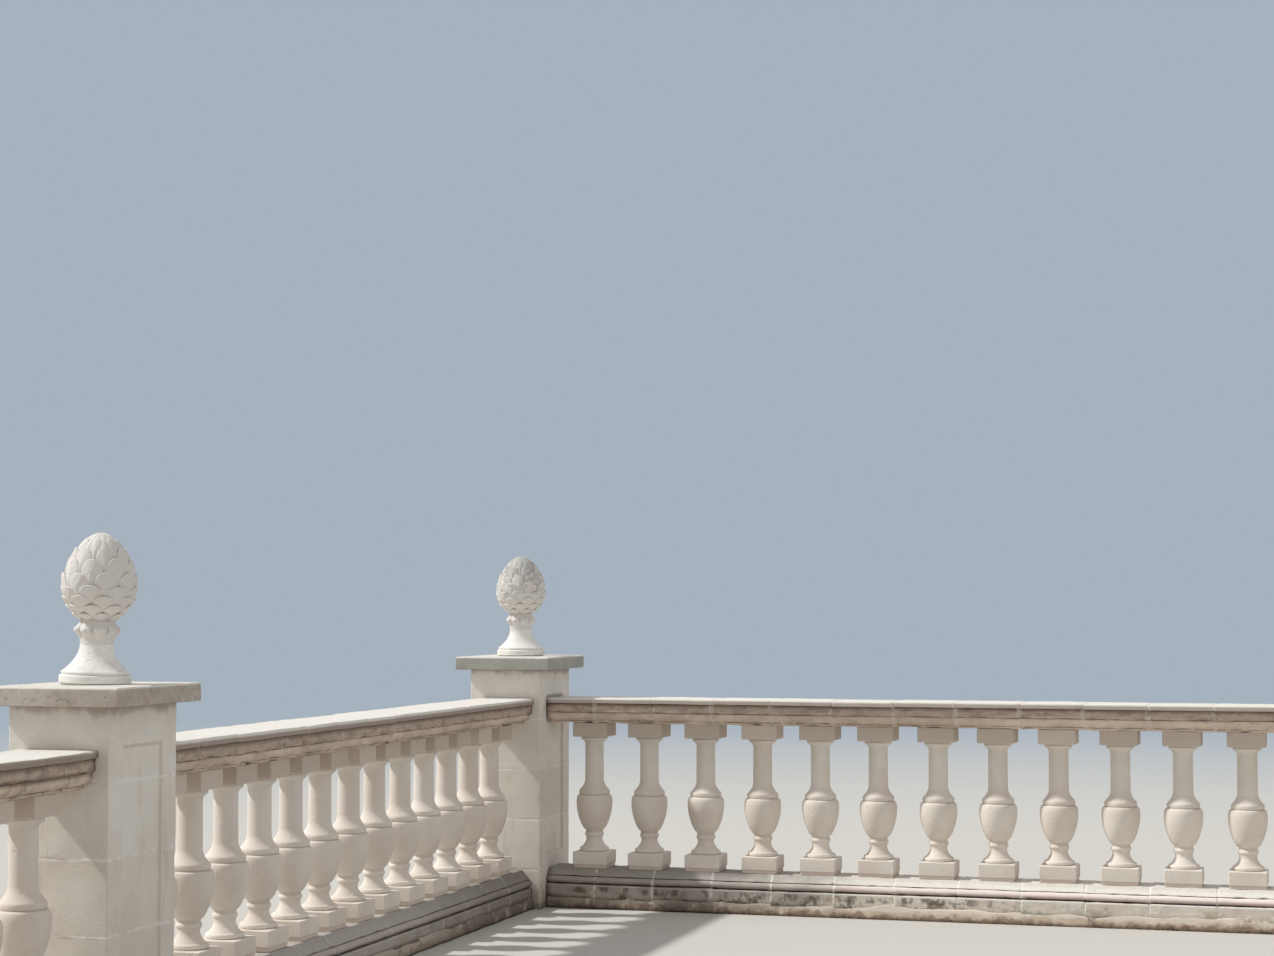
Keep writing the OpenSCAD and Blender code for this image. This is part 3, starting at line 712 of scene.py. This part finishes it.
def pier_skin(half_x, half_y, top, seed):
    """The shaft as rings of its outline up its height, centred on the origin. Each ring is let
    in by the joint it is near, and on the sides facing along X by the sunk panel."""
    beds = FIRST_COURSE + (top - FIRST_COURSE) / COURSES * np.arange(COURSES)
    slope = PANEL_SLOPE * np.array([0, 0.08, 0.35, 0.65, 0.92, 1])
    levels = np.concatenate([
        [0.0, 0.004], np.arange(0.03, top - 0.02, LEVEL_STEP), [top - 0.004, top],
        (beds[:, None] + BESIDE_JOINT).ravel(),
        PANEL_LOW + slope, PANEL_HIGH - slope,
    ])
    levels = np.unique(levels.round(4))
    ring = boxed(half_x, half_y, 0.005, 0.024, PANEL_W / 2 - slope)
    normal = outward(ring)
    points = np.empty((len(levels), len(ring), 3))
    points[..., :2] = ring
    points[..., 2] = levels[:, None]
    gap = np.abs(levels[:, None] - beds).min(axis=1)[:, None]
    inside = np.minimum(PANEL_W / 2 - np.abs(points[..., 1]),
                        np.minimum(points[..., 2] - PANEL_LOW, PANEL_HIGH - points[..., 2]))
    sunk = np.clip(inside / PANEL_SLOPE, 0, 1) * (np.abs(points[..., 0]) > half_x - 0.004)
    sunk = PANEL_D * (0.35 * sunk + 0.65 * sunk**2 * (3 - 2 * sunk))
    spot = points + (seed, 0, 0)
    on_corner = (np.abs(normal) > 0.2).all(axis=1)
    chips = 0.004 * on_corner * np.clip(ripple(spot, 0.05, seed) - 1.2, 0, 1.5)
    bead = np.exp(-((gap / 0.0050) ** 4)) * (0.0004 - 0.0011 * ripple(spot, 0.03, seed + 1))
    uneven = 0.0006 * ripple(spot, 0.16, seed + 2) + 0.00025 * ripple(spot, 0.04, seed + 3)
    points[..., :2] += (uneven - chips - bead - sunk)[..., None] * normal
    number = np.searchsorted(beds, levels)
    shade = np.random.default_rng(seed).uniform(-1, 1, COURSES + 1)
    on_slope = np.clip(4 * sunk / PANEL_D * (1 - sunk / PANEL_D), 0, 1)
    # Corners are marked for wear and a painted highlight, the panel's sloping edges for painted shade.
    wear_dirt_and_shading = np.where(on_corner, -0.2, 0.0) + 0.25 * on_slope
    return skin(points, groove=wear_dirt_and_shading, gap=gap, shade=shade[number][:, None])


# Cast stone blocks of the piers: beige grey, a shade for each course, a brown stain under the cap
# deepened by painted shade, painted shade on the panels' sloping edges, corners worn and lit by a
# painted highlight, dark at the foot, with light mortar beds smeared unevenly.
pier_stone, tree, shader, where, tall = masonry("cast stone blocks, piers", 0.88)
groove, shade, gap = (
    add(tree, "ShaderNodeAttribute", attribute_name=mark).outputs["Fac"]
    for mark in ("groove", "shade", "gap")
)
pier_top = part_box("corner_pier_shaft")[1][2]
tone = stain(tree, "#E7E2DA", "#DCD5CC", 1.0, (mottle(tree, where, 0.26), 0.38, 0.66))
tone = stain(tree, tone, "#D3C8BD", 0.35, (shade, -0.2, 1.0))
tone = stain(tree, tone, "#D0C9C0", 0.3, (mottle(tree, where, 0.011), 0.54, 0.70))
# A brown stain under the cap, deepened by painted shade.
under_cap_stain_and_shade = mottle(tree, where, 0.08, (1, 1, 1.4), value=tall, depth=0.05)
tone = stain(tree, tone, "#9A8677", 0.55, (under_cap_stain_and_shade, pier_top - 0.035, pier_top - 0.004))
tone = stain(tree, tone, "#B5A695", 0.3, (mottle(tree, where, 0.07, (1, 1, 6)), 0.56, 0.70))
# Painted shade on the panels' sloping edges.
tone = stain(tree, tone, "#A3937F", 0.35, (groove, 0.05, 0.25))
# Wear and a painted highlight on the corners.
tone = stain(tree, tone, "#DFD9CF", 0.35, (groove, -0.05, -0.20))
foot = mottle(tree, where, 0.07, value=tall, depth=0.10)
tone = stain(tree, tone, "#9A8874", 0.6, (foot, 0.16, 0.04))
tone = stain(tree, tone, "#4E453B", 0.8, (foot, 0.075, 0.0), (mottle(tree, where, 0.03), 0.36, 0.52))
smear = mottle(tree, where, 0.03, value=gap, depth=0.009)
filled = mottle(tree, where, 0.045)
tone = stain(tree, tone, "#F3F0EA", 0.6, (smear, 0.0080, 0.002), (filled, 0.40, 0.60))
tone = stain(tree, tone, "#9C8F7E", 0.35, (smear, 0.005, 0.001), (filled, 0.44, 0.30))
tree.links.new(tone, shader.inputs["Base Color"])
tree.links.new(grit(tree, where, 0.003, 0.0006, 0.016), shader.inputs["Normal"])

PIERS = ("corner", "left", "left_end", "right_end")
for seed, pier in enumerate(PIERS):
    low, high = np.array(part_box(pier + "_pier_shaft"))
    half_x, half_y = (high - low)[:2] / 2
    middle = (low + high)[:2] / 2
    quarter_turned = pier == "right_end"
    if quarter_turned:
        half_x, half_y = half_y, half_x
    points, *faces_and_marks = pier_skin(half_x, half_y, high[2], 400 + 10 * seed)
    if quarter_turned:
        points = points[:, [1, 0, 2]] * (-1, 1, 1)
    blocks = (points + (*middle, 0.0), *faces_and_marks)
    put(pier + "_pier_blocks", [blocks], pier_stone, pier + "_pier_shaft")


# Pier caps. One flat slab of cast stone on each pier, greyer and coarser than the shaft, with a
# bright line along its upper arris that is wear and a painted highlight, and painted shade on the
# faces turned down. The corner one is greyest: weathered grey and darkened by painted shade.
cap_stone, tree, shader, where, _ = masonry("weathered cast stone, caps", 0.92)
from_corner = add(tree, "ShaderNodeVectorMath", {0: where}, operation="LENGTH").outputs["Value"]
groove = add(tree, "ShaderNodeAttribute", attribute_name="groove").outputs["Fac"]
normal = add(tree, "ShaderNodeNewGeometry").outputs["Normal"]
facing_up = add(tree, "ShaderNodeSeparateXYZ", {0: normal}).outputs[2]
tone = stain(tree, "#BDB6AE", "#AFA69C", 1.0, (mottle(tree, where, 0.12), 0.38, 0.64))
tone = stain(tree, tone, "#BBA599", 0.6, (mottle(tree, where, 0.05), 0.52, 0.64))
tone = stain(tree, tone, "#A2A097", 0.45, (mottle(tree, where, 0.06, (2, 1, 1)), 0.56, 0.68))
tone = stain(tree, tone, "#857D72", 0.55, (mottle(tree, where, 0.018, (1.6, 1.6, 1)), 0.50, 0.74))
# Weathered grey near the corner, partly painted shade.
tone = stain(tree, tone, "#979D97", 0.62, (from_corner, 2.2, 1.7))
# Wear and a painted highlight along the upper arris.
tone = stain(tree, tone, "#E6E2DA", 0.9, (groove, -0.05, -0.3))
tone = stain(tree, tone, "#DEDAD2", 0.9, (facing_up, 0.4, 0.9))
tone = stain(tree, tone, "#B9B3A8", 0.5, (facing_up, 0.4, 0.9), (mottle(tree, where, 0.03), 0.56, 0.68))
# Painted shade: faces turned downward are darker.
tone = stain(tree, tone, "#6C5B52", 0.8, (facing_up, -0.3, -0.9))
tree.links.new(tone, shader.inputs["Base Color"])
tree.links.new(grit(tree, where, 0.0035, 0.0010, 0.030), shader.inputs["Normal"])

for seed, pier in enumerate(PIERS):
    low, high = np.array(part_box(pier + "_pier_cap"))
    half = (high - low)[:2] / 2
    thick = high[2] - low[2]
    inset = np.array([0.08, 0.0025, 0.0006, 0, 0, 0, 0.0008, 0.0025, 0.005, 0.012, 0.08])
    rise = np.array([0, 0, 0.0006, 0.003, 0.4 * thick, thick - 0.008, thick - 0.004, thick - 0.0015,
                     thick - 0.0003, thick, thick])
    # Marks for each row: the upper arris rows get wear, chips and a painted highlight.
    wear_dirt_and_shading = np.array([0.3, 0, -0.15, 0, 0, -0.1, -0.3, -0.35, -0.3, -0.1, 0])[:, None]
    ring = boxed(*half, 0.003, 0.022)
    points = np.empty((len(inset), len(ring), 3))
    points[..., :2] = ring * (1 - inset[:, None, None] / half)
    points[..., 2] = low[2] + rise[:, None]
    spot = points + (seed * 3.0, 0, 0)
    chips = 0.005 * np.clip(-4 * wear_dirt_and_shading, 0, 1) * np.clip(ripple(spot, 0.03, 500 + seed) - 1.3, 0, 1.5)
    uneven = 0.0005 * ripple(spot, 0.06, 510 + seed)
    points[..., :2] += (uneven - chips)[..., None] * outward(ring)
    points[..., 2] -= 0.6 * chips
    points[..., :2] += (low + high)[:2] / 2
    put(pier + "_cap_slab", [skin(points, groove=wear_dirt_and_shading)], cap_stone, pier + "_pier_cap")


# Finial feet. Turned shape cast in one piece: a thick disc on a thin mortar bed, a narrow quirk,
# a rounded step and a hollow flare up to the neck. The left one was set leaning by two degrees.
FOOT_R = 0.1225
NECK_R = 0.0565
LEAN = {"left": math.radians(1.9)}

finial_stone, tree, shader, where, _ = masonry("white cast stone, finials", 0.88)
groove = add(tree, "ShaderNodeAttribute", attribute_name="groove").outputs["Fac"]
lichen = add(tree, "ShaderNodeAttribute", attribute_name="lichen").outputs["Fac"]
tone = stain(tree, "#EFEEEA", "#E6E3DE", 1.0, (mottle(tree, where, 0.09), 0.40, 0.64))
tone = stain(tree, tone, "#D3CEC9", 0.7, (lichen, 0.0, 0.02))
tone = stain(tree, tone, "#DCCBC2", 0.45, (mottle(tree, where, 0.06), 0.56, 0.68))
tone = stain(tree, tone, "#CBC6BE", 0.35, (mottle(tree, where, 0.009), 0.54, 0.68))
# Painted shade, with some dust, in the foot's quirks, round the cone's core, under the scales and between
# the leaves.
tone = stain(tree, tone, "#A0968A", 0.6, (groove, 0.08, 0.40))
# Wear and a painted highlight on the scale rims, the leaf curls and the arrises.
tone = stain(tree, tone, "#F7F6F2", 0.5, (groove, -0.05, -0.3))
patch = mottle(tree, where, 0.022, value=lichen, depth=1.1)
tone = stain(tree, tone, "#9A9B98", 0.6, (patch, 0.35, 0.80))
tree.links.new(tone, shader.inputs["Base Color"])
tree.links.new(grit(tree, where, 0.003, 0.0009, 0.023), shader.inputs["Normal"])


def leaning(pier, points):
    """Points of a finial turned about the middle of its bed, over to the camera's right."""
    low, high = np.array(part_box(pier + "_finial_foot"))
    bed = np.array([*(low + high)[:2] / 2, low[2]])
    over = np.array([math.cos(TURN_LEFT), math.sin(TURN_LEFT), 0.0])
    turn = LEAN.get(pier, 0.0)
    sideways, rise = (points - bed) @ over, points[..., 2] - bed[2]
    moved = sideways * (math.cos(turn) - 1) + rise * math.sin(turn)
    raised = rise * (math.cos(turn) - 1) - sideways * math.sin(turn)
    return points + moved[..., None] * over + raised[..., None] * (0, 0, 1)


for pier in PIERS:
    low, high = np.array(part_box(pier + "_finial_foot"))
    neck_z = high[2] - low[2]
    t = np.linspace(0, 1, 24)
    flare_r = NECK_R + (FOOT_R - 0.013 - NECK_R) * (1 - t) ** 2.0
    profile = np.concatenate([
        [(FOOT_R - 0.008, -0.003), (FOOT_R - 0.008, 0.0030), (FOOT_R - 0.006, 0.0038)],
        arc((FOOT_R - 0.005, 0.0100), 0.005, 0.006, -75, 0, 6),
        [(FOOT_R, 0.016), (FOOT_R, 0.023)],
        arc((FOOT_R - 0.005, 0.0255), 0.005, 0.0065, 0, 80, 6),
        [(FOOT_R - 0.0085, 0.0330), (FOOT_R - 0.0085, 0.0350)],
        arc((FOOT_R - 0.0115, 0.0410), 0.0055, 0.0055, -50, 78, 8),
        np.stack([flare_r, 0.048 + (neck_z - 0.048) * t], -1),
        [(NECK_R - 0.0003, neck_z + 0.001), (NECK_R - 0.006, neck_z + 0.004)],
    ])
    middle = (*(low + high)[:2] / 2, low[2])
    groove = hollowness(profile, 0.009, closed=False)[:, None]
    groove[-6:] = 0
    rings = leaning(pier, lathe(profile, middle, 72))
    put(pier + "_finial_foot_turned", [skin(rings, groove=groove, lichen=0.0)], finial_stone,
        pier + "_finial_foot")


# Finial cones. A carved pine cone over a collar of curled leaves: eight scales to a row, each row
# turned half a scale, every scale rounded at its tip, keeled, and tucked under the row below it.
# Rims and leaf curls carry painted highlights; the core, the tucked roots and the gaps between
# the leaves carry painted shade.
SCALES = 8
SCALE_SHARE = 0.86
CONE_R = 0.131
CONE_WIDEST = 0.2056
CONE_ROOT = 0.076
CONE_NECK = 0.054
CONE_TURN = math.radians(15)
ROW_TURN = 16.0
LOWEST_TIP = -50.0
ROWS = 10


def cone_line(turn, bottom, top):
    """Radius and height of the bare cone at a turn from -90 at its root, over 0 where it is
    widest, to 90 at its tip, in degrees."""
    up = np.sin(np.radians(turn))
    over = np.clip(1 - np.clip(up, 0, 1) ** 1.7, 0, 1) ** 0.57
    under = CONE_NECK + (CONE_R - CONE_NECK) * (1 - np.clip(-up, 0, 1) ** 2.4)
    radius = np.where(turn < 0, under, CONE_R * over)
    widest = bottom + CONE_WIDEST
    return np.stack([radius, widest + np.where(turn < 0, CONE_WIDEST - CONE_ROOT, top - widest) * up], -1)


def cone_scale(line, tip, row_gap, angle, lift, size):
    """One scale as rings round its middle. line gives radius and height by distance along the
    cone; the scale's outline is round above and long below. Its face rises toward its tip, is
    pillowed, and has a keel that grows toward its root; its rim drops to the cone."""
    phi = np.linspace(0, 2 * np.pi, 36, endpoint=False)
    out = np.array([1.0, 1.0, 0.985, 0.955, 0.89, 0.76, 0.52, 0.24])
    drop = np.array([1.0, 0.42, 0.14, 0.03, 0.0, 0.0, 0.0, 0.0])[:, None]
    reach = np.where(np.sin(phi) > 0, size, 1.35) * row_gap
    x = out[:, None] * np.sign(np.cos(phi)) * np.abs(np.cos(phi)) ** 0.92
    y = out[:, None] * reach * np.sin(phi)
    down = (row_gap - y) / row_gap
    grown = np.clip((down - 0.35) / 1.2, 0, 1)
    keel = 0.0040 * grown * np.clip(1 - np.abs(x) / 0.5, 0, 1)
    level = 0.0005 + lift * (0.0015 - 0.0040 * x**2 - 0.0068 * down + keel)
    level = level - drop * (0.002 + 0.009 * lift)
    along = np.clip(tip - row_gap + y, line[0][0] + 0.001, line[0][-1] - 0.001)
    spot, ahead, behind = (np.stack([np.interp(along + step, line[0], line[k]) for k in (1, 2)], -1)
                           for step in (0, 0.0005, -0.0005))
    way = (ahead - behind) / np.linalg.norm(ahead - behind, axis=-1, keepdims=True)
    spot = spot + np.stack([way[..., 1], -way[..., 0]], -1) * level[..., None]
    turn = angle + x * SCALE_SHARE * np.pi / SCALES
    rings = np.stack([spot[..., 0] * np.cos(turn), spot[..., 0] * np.sin(turn), spot[..., 1]], -1)
    # The mark: a painted highlight on the rim, painted shade on the tucked root and under the rim.
    wear_dirt_and_shading = np.where(out > 0.9, -0.22, 0.0)[:, None]
    return rings, wear_dirt_and_shading + 0.35 * np.clip(down - 1.25, 0, 1) * lift + 0.45 * (drop > 0.3) * lift


for seed, pier in enumerate(PIERS):
    bottom, top = np.array(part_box(pier + "_finial_cone"))[:, 2]
    middle = np.array(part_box(pier + "_finial_foot")).mean(axis=0)[:2]
    turns = np.linspace(-90, 90, 700)
    outline = cone_line(turns, bottom, top)
    passed = np.concatenate([[0], np.cumsum(np.linalg.norm(np.diff(outline, axis=0), axis=1))])
    line = (passed, outline[:, 0], outline[:, 1])
    core_t = np.linspace(-89, 89, 36)
    core = cone_line(core_t, bottom, top)
    sunk = 0.0135 * np.clip((92 - core_t) / 34, 0, 1) * np.clip((core_t + 84) / 36, 0, 1)
    core[:, 0] = np.maximum(core[:, 0] - sunk, 0.002)
    core[:, 1] -= 0.003 * np.clip(core_t / 90, 0, 1)
    # The bare core between the scales carries painted shade.
    skins = [skin(lathe(core, (0, 0, 0), 48), groove=0.3)]
    dice = np.random.default_rng(600)
    for row in range(ROWS):
        for k in range(SCALES):
            tip_turn = min(LOWEST_TIP + row * ROW_TURN, 88.0) + dice.normal(0, 0.8) * (row < 8)
            tip = np.interp(tip_turn, turns, passed)
            row_gap = tip - np.interp(tip_turn - ROW_TURN, turns, passed)
            lift = min(1.0, (96 - tip_turn) / 38, 0.6 + 0.2 * row) * dice.uniform(0.85, 1.1)
            angle = 2 * np.pi * (k + 0.5 * ((row + 1) % 2)) / SCALES + dice.normal(0, 0.02)
            rings, wear_dirt_and_shading = cone_scale(line, tip, row_gap, angle, lift, dice.uniform(0.96, 1.02))
            skins.append(skin(rings, groove=wear_dirt_and_shading))
    h = np.concatenate([[0, 0.02], np.linspace(0.05, 0.97, 22), [1]])[:, None]
    turn = np.linspace(0, 2 * np.pi, 128, endpoint=False)
    across = np.abs((turn * SCALES / (2 * np.pi)) % 1 - 0.5) * 2
    leaf = 0.40 + 0.60 * (1 - across**2.2)
    curl = np.exp(-(((h - 0.66) / np.where(h < 0.66, 0.26, 0.19)) ** 2)) * np.clip(h / 0.1, 0, 1)
    hidden = np.interp(h, [0, 0.02, 0.05, 0.97, 1], [0.005, 0.0003, 0, 0, 0.004])
    collar_r = NECK_R - hidden + 0.0235 * curl * leaf
    collar_z = bottom - 0.002 + 0.086 * h - 0.005 * curl * (1 - across**2)
    rings = np.stack([collar_r * np.cos(turn), collar_r * np.sin(turn), collar_z], -1)
    # Marks: painted shade between the leaves, a painted highlight on their curled edge.
    skins.append(skin(rings, groove=0.45 * across**4 * curl - 0.12 * (np.abs(h - 0.68) < 0.06)))
    for k, (points, quads, fans, marks) in enumerate(skins):
        points = points + ripple(points + seed, 0.03, 600 + seed)[:, None] * 0.0003
        grown = np.clip((points[:, 2] - bottom) / (top - bottom), 0, 1)
        marks["lichen"] = 0.02 + grown**1.5 * (0.9 if pier == "corner" else 0.15)
        turned = points @ np.array([[math.cos(CONE_TURN), math.sin(CONE_TURN), 0],
                                    [-math.sin(CONE_TURN), math.cos(CONE_TURN), 0], [0, 0, 1]])
        skins[k] = (leaning(pier, turned + (*middle, 0.0)), quads, fans, marks)
    put(pier + "_pine_cone", skins, finial_stone, pier + "_finial_cone")
